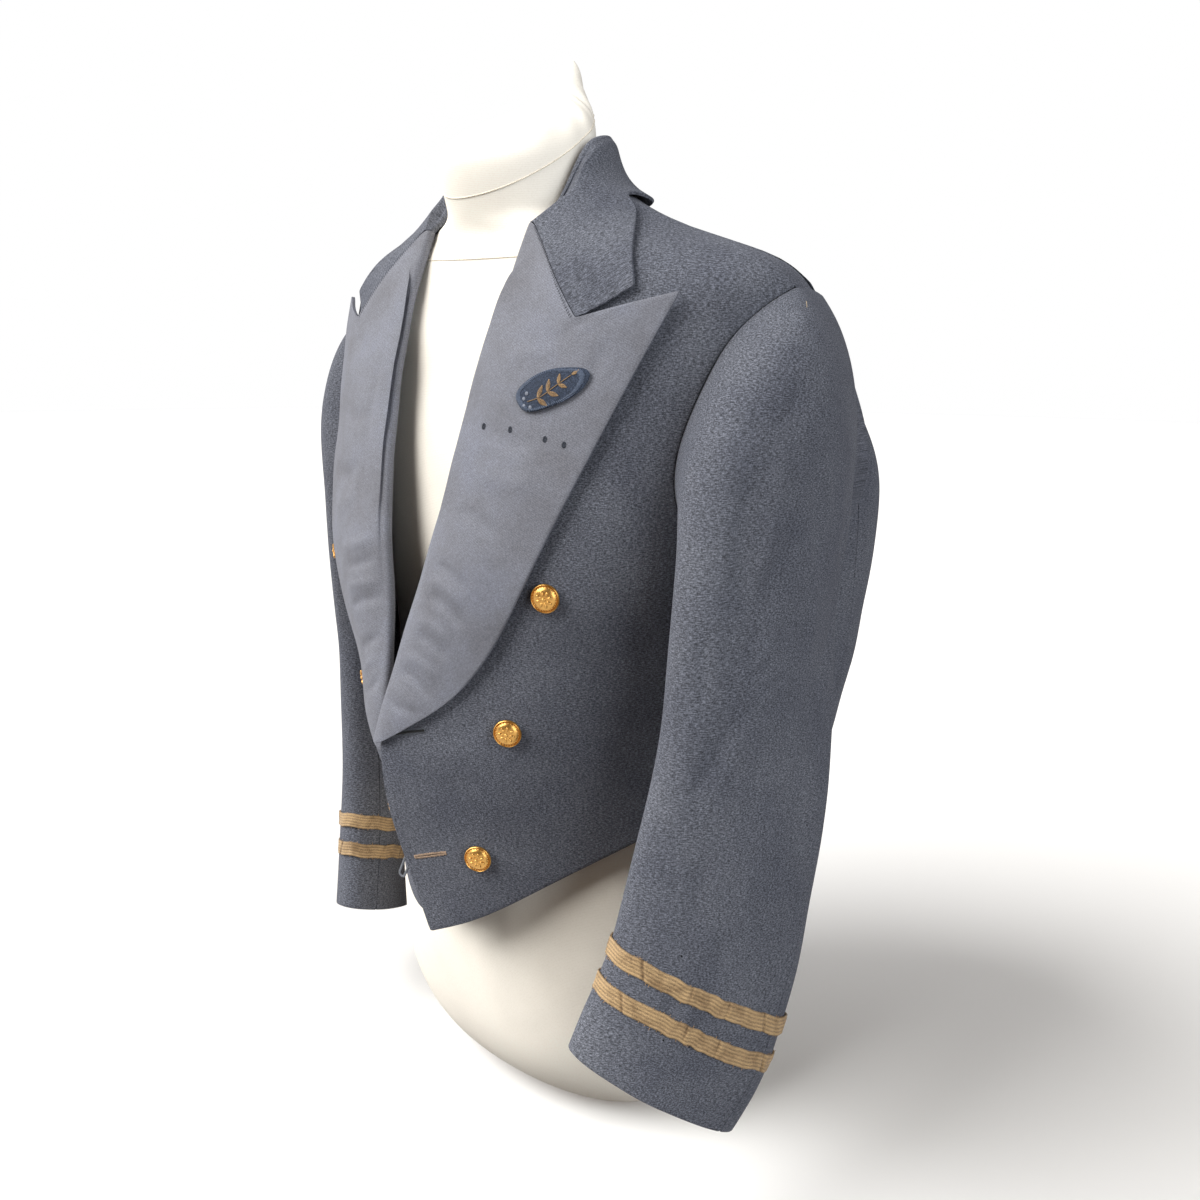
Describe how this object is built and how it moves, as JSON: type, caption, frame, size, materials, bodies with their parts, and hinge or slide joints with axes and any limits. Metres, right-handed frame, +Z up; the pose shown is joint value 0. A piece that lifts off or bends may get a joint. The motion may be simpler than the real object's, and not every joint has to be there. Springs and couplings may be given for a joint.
{
  "type": "mess jacket on dress form",
  "caption": "Waist-length formal mess jacket with wide peaked lapels, a fall collar and laced cuffs, resting on a limbless dress form.",
  "frame": {"origin": "centre of the flat underside of the dress form, the face that the part stands on", "axes": "+Z up, the jacket's front faces -Y, the wearer's left arm is on the +X side"},
  "size_m": [0.5647, 0.3598, 0.821],
  "materials": {
    "coat_cloth": "heathered blue-grey worsted wool, matt, with fine pale fibres and pressed folds",
    "lapel_facing": "fine-ribbed silk-and-wool facing, lighter and slightly purple grey, soft sheen and cross puckers",
    "cuff_lace": "tarnished gold lace, ribbed along its length, worn and frayed at the edges",
    "gilt_brass": "gilt brass, worn and slightly tarnished in the low places",
    "dark_felt": "dark felt with raised pale and gold embroidery thread",
    "loop_cord": "dark twisted cord",
    "form_jersey": "cream cotton jersey stretched over a padded form, matt"
  },
  "bodies": {
    "root": {"back_left": "coat_cloth", "back_right": "coat_cloth", "button_1_left": "gilt_brass", "button_1_right": "gilt_brass", "button_2_left": "gilt_brass", "button_2_right": "gilt_brass", "button_3_left": "gilt_brass", "button_3_right": "gilt_brass", "collar": "coat_cloth", "cuff_braid_1_left": "cuff_lace", "cuff_braid_1_right": "cuff_lace", "cuff_braid_2_left": "cuff_lace", "cuff_braid_2_right": "cuff_lace", "dress_form": "form_jersey", "fastening_loop": "loop_cord", "front_left": "coat_cloth", "front_right": "coat_cloth", "lapel_left": "lapel_facing", "lapel_right": "lapel_facing", "side_body_left": "coat_cloth", "side_body_right": "coat_cloth", "sprig_patch": "dark_felt", "top_sleeve_left": "coat_cloth", "top_sleeve_right": "coat_cloth", "under_sleeve_left": "coat_cloth", "under_sleeve_right": "coat_cloth"}
  },
  "joints": []
}
